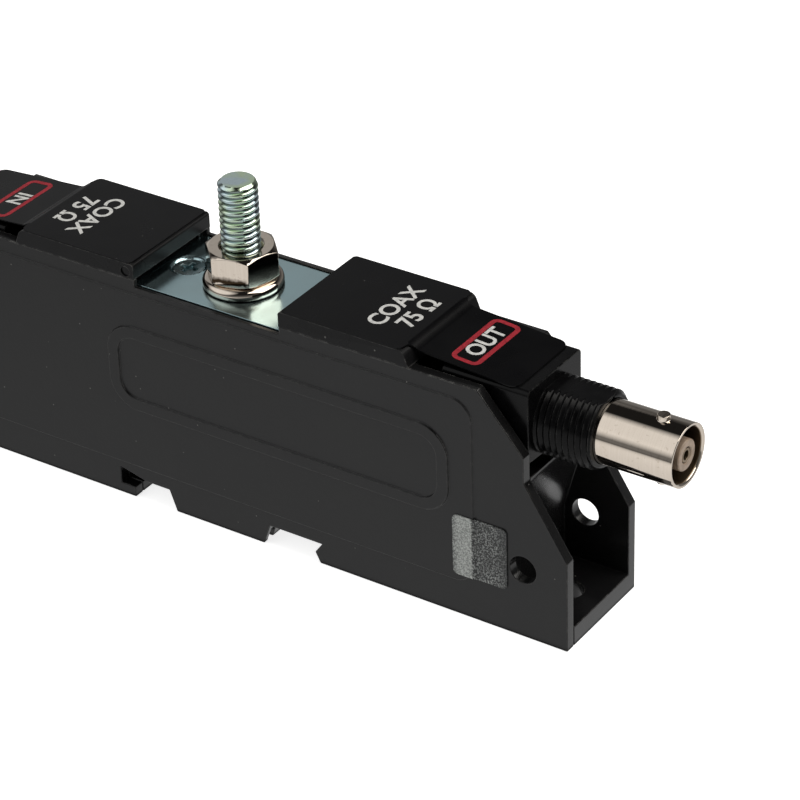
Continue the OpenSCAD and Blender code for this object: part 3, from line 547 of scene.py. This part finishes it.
def sweepThread(way):  # one pitch of the profile swept up its helix, ends open, axis on Z
    bm = bmesh.new()
    pitch = way["pitch"] * mm
    crest = way["crestRadius"] * mm
    root = crest - way["depth"] * mm
    turns = ceil(way["length"] / way["pitch"]) + 2
    rise = [(root, 0), (root, way["rootFlat"] / 2)]
    rise += [(crest - drop * mm, z) for drop, z in way["crest"]]
    outline = rise + [(r, 1 - z) for r, z in reversed(rise[:-1])]
    profile = [bm.verts.new((r, 0, z * pitch - pitch)) for r, z in outline]
    edges = [bm.edges.new(pair) for pair in zip(profile, profile[1:])]
    if "bore" in way:
        inner = [bm.verts.new((way["bore"] * mm, 0, z * pitch - pitch)) for z in (0, 1)]
        edges.append(bm.edges.new(inner))
    bmesh.ops.spin(bm, geom=bm.verts[:] + edges, cent=(0, 0, 0), axis=(0, 0, 1),
                   dvec=(0, 0, pitch / way["steps"]), angle=radians(360 * turns),
                   steps=turns * way["steps"])
    bmesh.ops.remove_doubles(bm, verts=bm.verts[:], dist=0.002 * mm)
    return bm


def taperEnd(bm, top, radius, innerRadius=0):  # chamfer the last turn towards the end
    for v in bm.verts:
        room = radius + max(top - v.co.z, 0)
        reach = hypot(v.co.x, v.co.y)
        if reach > room and reach > innerRadius:
            v.co.x *= room / reach
            v.co.y *= room / reach


studWay = {"pitch": 1.0, "depth": 0.55, "crestRadius": 3.0, "rootFlat": 0.14, "steps": 56,
           "crest": [(0.1, 0.3), (0.05, 0.35), (0.015, 0.42), (0, 0.5)],  # drop at each part of a pitch
           "chamfer": 0.5, "headFlats": 10, "headHeight": 3.6}


def makeStud():
    low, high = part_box("earth_stud")
    headTop = low.z + studWay["headHeight"] * mm
    top = high.z - headTop
    bm = sweepThread({**studWay, "length": top / mm})
    taperEnd(bm, top, (studWay["crestRadius"] - studWay["chamfer"]) * mm)
    for point, normal in (((0, 0, top), (0, 0, 1)), ((0, 0, 0), (0, 0, -1))):
        bmesh.ops.holes_fill(bm, edges=cutOff(bm, point, normal), sides=0)
    bmesh.ops.recalc_face_normals(bm, faces=bm.faces[:])
    bmesh.ops.translate(bm, vec=(0, 0, headTop), verts=bm.verts[:])
    corner = studWay["headFlats"] / 2 / cos(radians(30)) * mm
    bmesh.ops.create_cone(bm, cap_ends=True, segments=6, radius1=corner, radius2=corner,
                          depth=studWay["headHeight"] * mm,
                          matrix=Matrix.Translation((0, 0, (low.z + headTop) / 2)))
    finishPiece(bm, "earth_stud_threaded", "earth_stud", smoothTo=48)


makeStud()
print("nut and stud made")

bushWay = {"pitch": 1.0, "depth": 0.45, "crestRadius": 6.0, "rootFlat": 0.14, "steps": 64,
           "crest": [(0.03, 0.4), (0, 0.5)], "bore": 4.9, "chamfer": 0.6,
           "length": 9.0, "flat": 5.3, "collar": 0.03, "blockRound": 0.2}


def makeJackBody(side):  # CAD block with its plain bush cut off, and a threaded bush in its place
    name = side + "_jack_body"
    turn = Matrix.Rotation(radians(sides[side]), 4, "Z")
    axisHeight = mounts[side + "_coax"]["pos_m"][2]
    bushEnd = max(abs(c.x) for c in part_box(name))
    bushStart = bushEnd - (bushWay["length"] - bushWay["collar"]) * mm
    top = bushEnd - bushStart
    bm = sweepThread(bushWay)
    taperEnd(bm, top, (bushWay["crestRadius"] - bushWay["chamfer"]) * mm, bushWay["bore"] * mm + 0.1 * mm)
    for point, normal in (((0, 0, top), (0, 0, 1)), ((0, 0, 0), (0, 0, -1))):
        bmesh.ops.bridge_loops(bm, edges=cutOff(bm, point, normal))
    bmesh.ops.holes_fill(bm, edges=cutOff(bm, (bushWay["flat"] * mm, 0, 0), (1, 0, 0)), sides=0)
    alongX = Matrix(((0, 0, 1), (0, -1, 0), (1, 0, 0))).to_4x4()  # thread axis on X, its flat on top
    bmesh.ops.transform(bm, matrix=alongX, verts=bm.verts[:])
    bmesh.ops.translate(bm, vec=(bushStart, 0, axisHeight), verts=bm.verts[:])
    bmesh.ops.recalc_face_normals(bm, faces=bm.faces[:])
    bmesh.ops.transform(bm, matrix=turn, verts=bm.verts[:])
    block = copyOf(name)
    rim = cutOff(block, turn @ Vector((bushStart, 0, 0)), turn @ Vector((1, 0, 0)))
    bmesh.ops.bridge_loops(block, edges=rim)
    clear = (bushWay["crestRadius"] + 0.3) * mm
    outer = [e for e in block.edges if isSharp(e)
             and all(hypot(v.co.y, v.co.z - axisHeight) > clear for v in e.verts)]
    roundEdges(block, outer, bushWay["blockRound"])
    spare = bpy.data.meshes.new("spare")
    block.to_mesh(spare)
    block.free()
    bm.from_mesh(spare)
    bpy.data.meshes.remove(spare)
    finishPiece(bm, name + "_threaded", name, smoothTo=28)


for side in sides:
    makeJackBody(side)
print("socket bodies threaded")


# printed label films and their print, sizes in mm

labelWay = {"thick": 0.2, "narrow": 14.3, "stepRun": 0.9, "stepDrop": 0.8, "cornerRadius": 1.5,
            "bendRadius": 0.55, "flapShort": 0.5, "flapCorner": 0.7}
printWay = {"thick": 0.02, "frameAt": 42.3, "across": 0.3, "frameLong": 12.4, "frameHigh": 4.8,
            "frameBand": 0.75, "frameCorner": 1.3, "wordHigh": 2.7, "codeHigh": 2.9}
portWords = {"clean": "OUT", "line": "IN"}
capLines = {"COAX": 27.0, "75 Ω": 31.0}  # where each line stands along the cap


def labelRun():  # where the film bends, as X and Z of its underside on the clean side
    low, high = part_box("clean_label")
    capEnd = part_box("clean_cap")[1].x - capWay["lean"] * mm
    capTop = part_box("clean_cap")[1].z
    bend = (capEnd + labelWay["stepRun"] * mm, capTop - labelWay["stepDrop"] * mm)
    return [(low.x, capTop), (capEnd, capTop), bend, (high.x, low.z)]


def makeFilm(side):
    run = labelRun()
    half = labelWay["narrow"] / 2 * mm
    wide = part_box("clean_label")[1].y
    bm = bmesh.new()
    spine = [bm.verts.new((x, -half, z)) for x, z in run]
    edges = [bm.edges.new(pair) for pair in zip(spine, spine[1:])]
    strip = bmesh.ops.extrude_edge_only(bm, edges=edges)
    bmesh.ops.translate(bm, vec=(0, 2 * half, 0), verts=newVerts(strip))
    capEdges = [e for e in bm.edges if all(v.co.x < run[1][0] + 0.1 * mm for v in e.verts)
                and abs(e.verts[0].co.y - e.verts[1].co.y) < 0.1 * mm]
    for edge in capEdges:  # the part on the cap is as wide as the cap
        flap = bmesh.ops.extrude_edge_only(bm, edges=[edge])
        for v in newVerts(flap):
            v.co.y = wide if v.co.y > 0 else -wide
    ends = [v for v in bm.verts if v.co.x > run[3][0] - 0.1 * mm]
    corners = [v for v in bm.verts if abs(v.co.y) > wide - 0.1 * mm]
    for v in corners:
        if v.co.x > run[1][0] - 0.1 * mm:
            v.co.x -= labelWay["flapShort"] * mm
    for verts, radius in ((ends, labelWay["cornerRadius"]), (corners, labelWay["flapCorner"])):
        bmesh.ops.bevel(bm, geom=verts, offset=radius * mm, offset_type="OFFSET", segments=6,
                        profile=0.5, affect="VERTICES", material=-1)
    creases = [e for e in bm.edges if e.is_manifold and e.calc_face_angle(0) > radians(5)]
    roundEdges(bm, creases, labelWay["bendRadius"], 5)
    solidUp(bm, labelWay["thick"])
    bmesh.ops.transform(bm, matrix=Matrix.Rotation(radians(sides[side]), 4, "Z"), verts=bm.verts[:])
    finishPiece(bm, side + "_label_film", side + "_label")


def printPlace(side, alongMm):  # reads along +Y with its top towards the stud, on the film
    run = labelRun()
    x = alongMm * mm
    (x0, z0), (x1, z1) = (run[2], run[3]) if x > run[2][0] else (run[0], run[1])
    lean = atan2(z0 - z1, x1 - x0)
    z = z0 + (z1 - z0) * (x - x0) / (x1 - x0) + labelWay["thick"] * mm
    onFilm = Matrix(((0, -cos(lean), sin(lean)), (1, 0, 0), (0, sin(lean), cos(lean)))).to_4x4()
    place = Matrix.Translation((x, printWay["across"] * mm, z)) @ onFilm
    return Matrix.Rotation(radians(sides[side]), 4, "Z") @ place


def makeFrame(side):  # red rounded box round the port's word
    bm = bmesh.new()
    span = (printWay["frameLong"] * mm, printWay["frameHigh"] * mm, 1, 1)
    bmesh.ops.create_grid(bm, x_segments=1, y_segments=1, size=0.5, matrix=Matrix.Diagonal(span))
    bmesh.ops.bevel(bm, geom=bm.verts[:], offset=printWay["frameCorner"] * mm, offset_type="OFFSET",
                    segments=6, profile=0.5, affect="VERTICES", material=-1)
    middle = bm.faces[:]
    bmesh.ops.inset_individual(bm, faces=middle, thickness=printWay["frameBand"] * mm, use_even_offset=True)
    bmesh.ops.delete(bm, geom=middle, context="FACES")
    solidUp(bm, printWay["thick"])
    bmesh.ops.transform(bm, matrix=printPlace(side, printWay["frameAt"]), verts=bm.verts[:])
    finishPiece(bm, side + "_frame_print", side + "_label", redInk)


def makeWord(side, text, name, alongMm, highMm):
    curve = bpy.data.curves.new(name, "FONT")
    curve.body = text
    curve.align_x = "CENTER"
    curve.align_y = "CENTER"
    curve.size = highMm * mm * 1.4  # a capital is about 0.7 of the font's size
    curve.offset = 0.022 * curve.size  # bolder than the built-in face
    curve.extrude = printWay["thick"] * mm / 2
    holder = bpy.data.objects.new(name + "_curve", curve)
    flat = bpy.data.meshes.new_from_object(holder)
    bm = bmesh.new()
    bm.from_mesh(flat)
    bpy.data.objects.remove(holder)
    bpy.data.meshes.remove(flat)
    bmesh.ops.remove_doubles(bm, verts=bm.verts[:], dist=0.001 * mm)
    bmesh.ops.translate(bm, vec=(0, 0, printWay["thick"] * mm / 2), verts=bm.verts[:])
    bmesh.ops.transform(bm, matrix=printPlace(side, alongMm), verts=bm.verts[:])
    finishPiece(bm, name, side + "_label", whiteInk)


for side in sides:
    makeFilm(side)
    makeFrame(side)
    makeWord(side, portWords[side], side + "_port_word", printWay["frameAt"], printWay["wordHigh"])
    for count, (text, alongMm) in enumerate(capLines.items()):
        makeWord(side, text, side + "_cap_line_" + str(count + 1), alongMm, printWay["codeHigh"])
print("labels and print made")


# floor, light and camera

floorWay = {"paper": "#e6e6e5", "mirrorPaper": "#1c1c1c", "seenGlow": 0.82, "mirrorGlow": 1.02,
            "radius": 12, "below": 0.05, "brightAt": (0.09, -0.12, 0),
            "fadeFrom": 0.06, "fadeTo": 0.42, "fadeLeft": 0.15, "contact": (0.1, 1.2)}


def makeFloor():  # white sheet: the camera sees it white, mirrors see it fall off away from the object
    material, tree, coords = startMaterial("whiteSheet")
    cameraRay = addNode(tree, "LightPath", out="Is Camera Ray")
    glossyRay = addNode(tree, "LightPath", out="Is Glossy Ray")
    clearRay = addNode(tree, "LightPath", out="Is Transmission Ray")
    away = addNode(tree, "VectorMath", {0: coords, 1: floorWay["brightAt"]}, "Value", operation="DISTANCE")
    fade = addNode(tree, "MapRange", {0: away, 1: floorWay["fadeFrom"], 2: floorWay["fadeTo"], 3: 1,
                                      4: floorWay["fadeLeft"]})
    seen = addNode(tree, "Math", {0: cameraRay, 1: clearRay}, operation="MAXIMUM")
    seen = addNode(tree, "Math", {0: seen, 1: floorWay["seenGlow"]}, operation="MULTIPLY")
    mirrored = addNode(tree, "Math", {0: glossyRay, 1: floorWay["mirrorGlow"]}, operation="MULTIPLY")
    mirrored = addNode(tree, "Math", {0: mirrored, 1: fade}, operation="MULTIPLY")
    near, far = floorWay["contact"]
    reach = addNode(tree, "LightPath", out="Ray Length")
    free = addNode(tree, "MapRange", {0: reach, 1: near * mm, 2: far * mm})  # dark where the object touches
    mirrored = addNode(tree, "Math", {0: mirrored, 1: free}, operation="MULTIPLY")
    lift = addNode(tree, "Math", {0: seen, 1: mirrored}, operation="ADD")
    tone = addNode(tree, "Mix", {0: glossyRay, 6: floorWay["paper"], 7: floorWay["mirrorPaper"]}, 2,
                   data_type="RGBA")
    paper = addNode(tree, "BsdfDiffuse", {"Color": tone})
    glow = addNode(tree, "Emission", {"Strength": lift})
    addNode(tree, "OutputMaterial", {"Surface": addNode(tree, "AddShader", {0: paper, 1: glow})})
    bm = bmesh.new()
    bmesh.ops.create_circle(bm, cap_ends=True, segments=64, radius=floorWay["radius"],
                            matrix=Matrix.Translation((0, 0, -floorWay["below"] * mm)))
    mesh = bpy.data.meshes.new("floor")
    bm.to_mesh(mesh)
    bm.free()
    mesh.materials.append(material)
    floor = bpy.data.objects.new("floor", mesh)
    bpy.context.scene.collection.objects.link(floor)


roomWay = {"horizon": 0.2, "ceiling": 0.015, "from": 0.1, "to": 0.6,
           "tent": {"glow": 1.0, "to": (-0.525, -0.525, 0.669), "edge": (0.78, 0.93)},
           "card": {"glow": 0.38, "to": (-0.74, 0.558, 0.375), "edge": (0.915, 0.955)}}


def makeRoom():  # light tent in front and to the left, a grey card behind, dim elsewhere
    world = bpy.data.worlds.new("room")
    bpy.context.scene.world = world
    world.use_nodes = True
    tree = world.node_tree
    tree.nodes.clear()
    look = addNode(tree, "TexCoord", out="Generated")
    height = addNode(tree, "SeparateXYZ", {0: look}, "Z")
    level = addNode(tree, "MapRange", {0: height, 1: roomWay["from"], 2: roomWay["to"],
                                       3: roomWay["horizon"], 4: roomWay["ceiling"]})
    for way in (roomWay["tent"], roomWay["card"]):
        toward = Vector(way["to"]).normalized()
        facing = addNode(tree, "VectorMath", {0: look, 1: toward}, "Value", operation="DOT_PRODUCT")
        lit = addNode(tree, "MapRange", {0: facing, 1: way["edge"][0], 2: way["edge"][1], 4: way["glow"]})
        level = addNode(tree, "Math", {0: level, 1: lit}, operation="ADD")
    light = addNode(tree, "Background", {"Color": "#ffffff", "Strength": level})
    addNode(tree, "OutputWorld", {"Surface": light})


lampWay = {"softboxRight": {"at": (0.626, 0.292, 0.95), "aim": (0, 0, 0.02), "size": 1.1, "watts": 12.6,
                            "tint": "#fdfaf5"}}


def makeLamps():
    for name, way in lampWay.items():
        lamp = bpy.data.lights.new(name, "AREA")
        lamp.size = way["size"]
        lamp.energy = way["watts"]
        lamp.color = toLinear(way["tint"])[:3]
        holder = bpy.data.objects.new(name, lamp)
        holder.location = way["at"]
        toward = Vector(way["aim"]) - Vector(way["at"])
        holder.rotation_euler = toward.to_track_quat("-Z", "Y").to_euler()
        bpy.context.scene.collection.objects.link(holder)


cameraWay = {"eye": (258.84, -333.89, 278.45), "aim": (-0.17, 39.7, -3.56), "roll": -1.97, "lens": 147.85}


def makeCamera():
    lens = bpy.data.cameras.new("camera")
    lens.lens = cameraWay["lens"]
    lens.sensor_width = 36
    holder = bpy.data.objects.new("camera", lens)
    eye = Vector(cameraWay["eye"]) * mm
    forward = (Vector(cameraWay["aim"]) * mm - eye).normalized()
    level = forward.to_track_quat("-Z", "Y").to_matrix().to_4x4()
    roll = Matrix.Rotation(radians(cameraWay["roll"]), 4, "Z")
    holder.matrix_world = Matrix.Translation(eye) @ level @ roll
    bpy.context.scene.collection.objects.link(holder)
    bpy.context.scene.camera = holder


makeFloor()
makeRoom()
makeLamps()
makeCamera()
bpy.context.scene.view_settings.view_transform = "Standard"
print("stage and camera set")
